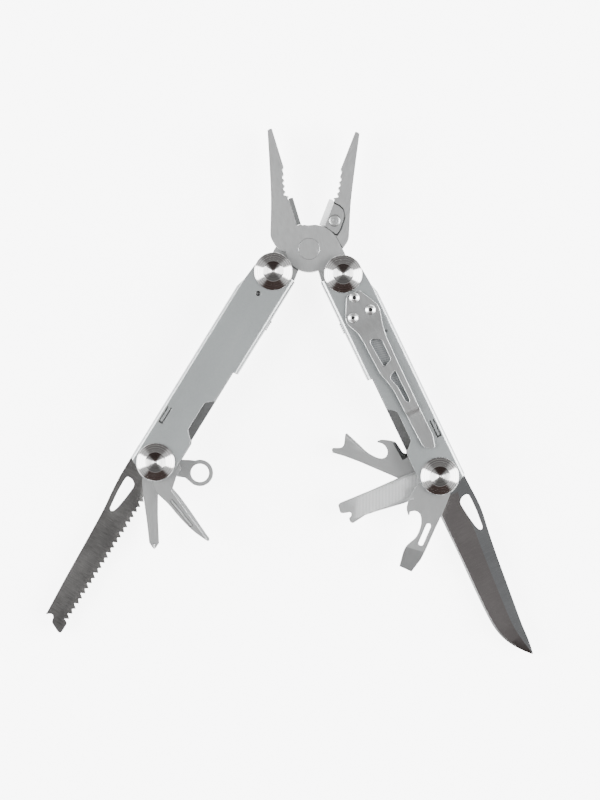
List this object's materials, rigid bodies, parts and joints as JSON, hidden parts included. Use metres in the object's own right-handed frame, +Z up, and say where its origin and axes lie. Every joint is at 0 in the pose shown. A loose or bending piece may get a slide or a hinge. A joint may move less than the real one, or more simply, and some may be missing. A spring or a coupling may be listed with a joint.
{
  "type": "multi tool",
  "caption": "Folding plier multi tool, opened flat: needle-nose jaws with wire cutters, channel handles with a pocket clip, and blades and drivers swung out.",
  "frame": {"origin": "middle of the bounding box, on the surface the tool lies on", "axes": "+Y towards the jaw tips, +X to the right seen from the front, +Z up, from the surface to the clip side"},
  "size_m": [0.1956, 0.2104, 0.0201],
  "materials": {
    "plate_steel": "bead blasted matte, polished bends",
    "jaw_steel": "satin",
    "satin_tool_steel": "satin",
    "dark_blade_steel": "dark brushed",
    "polished_blade_steel": "polished, dark reflections",
    "turned_bright_steel": "bright turned",
    "bright_steel": "bright machined"
  },
  "bodies": {
    "front_half": {"front_jaw": "jaw_steel", "front_cutter_insert": "satin_tool_steel", "front_cutter_screw": "bright_steel"},
    "pivot_pin": {"plier_pivot_pin": "jaw_steel"},
    "rear_half": {"rear_jaw": "jaw_steel", "rear_cutter_insert": "satin_tool_steel", "rear_cutter_screw": "bright_steel"},
    "left_handle": {"left_channel": "plate_steel", "left_head_axle": "bright_steel", "left_head_cap_front": "turned_bright_steel", "left_head_cap_rear": "turned_bright_steel", "left_head_washer_front": "bright_steel", "left_head_washer_rear": "bright_steel", "left_tool_axle": "bright_steel", "left_tool_cap_front": "turned_bright_steel", "left_tool_cap_rear": "turned_bright_steel", "left_tool_spacer_rear": "bright_steel", "left_tool_spacer_middle": "bright_steel", "left_tool_spacer_front": "bright_steel", "left_slider_spring": "satin_tool_steel"},
    "right_handle": {"right_channel": "plate_steel", "right_head_axle": "bright_steel", "right_head_cap_front": "turned_bright_steel", "right_head_cap_rear": "turned_bright_steel", "right_head_washer_front": "bright_steel", "right_head_washer_rear": "bright_steel", "right_tool_axle": "bright_steel", "right_tool_cap_front": "turned_bright_steel", "right_tool_cap_rear": "turned_bright_steel", "right_tool_spacer_rear": "bright_steel", "right_tool_spacer_middle": "bright_steel", "right_tool_spacer_front": "bright_steel", "right_slider_spring": "satin_tool_steel", "pocket_clip": "plate_steel", "clip_screw_top": "turned_bright_steel", "clip_screw_inner": "turned_bright_steel", "clip_screw_outer": "turned_bright_steel"},
    "left_slider": {"left_lock_slider": "bright_steel"},
    "right_slider": {"right_lock_slider": "bright_steel"},
    "awl": {"awl": "satin_tool_steel"},
    "phillips_driver": {"phillips_driver": "satin_tool_steel"},
    "lanyard_ring": {"lanyard_ring": "satin_tool_steel"},
    "saw_blade": {"saw_blade": "dark_blade_steel"},
    "bottle_opener": {"bottle_opener": "satin_tool_steel"},
    "file": {"file": "satin_tool_steel"},
    "can_opener": {"can_opener": "satin_tool_steel"},
    "knife_blade": {"knife_blade": "polished_blade_steel"}
  },
  "joints": [
    {"name": "jaws_close", "type": "hinge", "parent": "pivot_pin", "child": "rear_half", "pos_m": [0.00784, 0.05721, 0.01005], "axis": [0, 0, 1], "range_deg": [0, 38.3]},
    {"name": "plier_squeeze", "type": "hinge", "parent": "pivot_pin", "child": "front_half", "pos_m": [0.00784, 0.05721, 0.01005], "axis": [0, 0, 1], "range_deg": [-38.3, 0]},
    {"name": "left_handle_fold", "type": "hinge", "parent": "rear_half", "child": "left_handle", "pos_m": [-0.0064, 0.04801, 0.01005], "axis": [0, 0, -1], "range_deg": [0, 169.63]},
    {"name": "right_handle_fold", "type": "hinge", "parent": "front_half", "child": "right_handle", "pos_m": [0.02136, 0.04697, 0.01005], "axis": [0, 0, 1], "range_deg": [0, 171.45]},
    {"name": "awl_swing", "type": "hinge", "parent": "left_handle", "child": "awl", "pos_m": [-0.05313, -0.02773, 0.01005], "axis": [0, 0, 1], "range_deg": [-65.47, 114.53]},
    {"name": "phillips_driver_swing", "type": "hinge", "parent": "left_handle", "child": "phillips_driver", "pos_m": [-0.05313, -0.02773, 0.01005], "axis": [0, 0, 1], "range_deg": [-31.17, 148.83]},
    {"name": "lanyard_ring_swing", "type": "hinge", "parent": "left_handle", "child": "lanyard_ring", "pos_m": [-0.05313, -0.02773, 0.01005], "axis": [0, 0, 1], "range_deg": [-106.87, 73.13]},
    {"name": "saw_blade_swing", "type": "hinge", "parent": "left_handle", "child": "saw_blade", "pos_m": [-0.05313, -0.02773, 0.01005], "axis": [0, 0, 1], "range_deg": [0, 179.73]},
    {"name": "bottle_opener_swing", "type": "hinge", "parent": "right_handle", "child": "bottle_opener", "pos_m": [0.05974, -0.03333, 0.01005], "axis": [0, 0, -1], "range_deg": [-45.75, 129.25]},
    {"name": "file_swing", "type": "hinge", "parent": "right_handle", "child": "file", "pos_m": [0.05974, -0.03333, 0.01005], "axis": [0, 0, -1], "range_deg": [-93.65, 82.85]},
    {"name": "can_opener_swing", "type": "hinge", "parent": "right_handle", "child": "can_opener", "pos_m": [0.05974, -0.03333, 0.01005], "axis": [0, 0, -1], "range_deg": [-133.25, 43.75]},
    {"name": "knife_blade_swing", "type": "hinge", "parent": "right_handle", "child": "knife_blade", "pos_m": [0.05974, -0.03333, 0.01005], "axis": [0, 0, -1], "range_deg": [0, 180.95]},
    {"name": "left_lock_slide", "type": "slide", "parent": "left_handle", "child": "left_slider", "axis": [-0.525, -0.8511, 0], "range_m": [0, 0.0025], "stiffness_N_per_m": 200},
    {"name": "right_lock_slide", "type": "slide", "parent": "right_handle", "child": "right_slider", "axis": [0.4313, -0.9022, 0], "range_m": [0, 0.0025], "stiffness_N_per_m": 200}
  ],
  "couplings": [
    {"joint": "jaws_close", "follows": "left_handle_fold", "ratio": 0.2257},
    {"joint": "right_handle_fold", "follows": "left_handle_fold", "ratio": 1.0107}
  ]
}
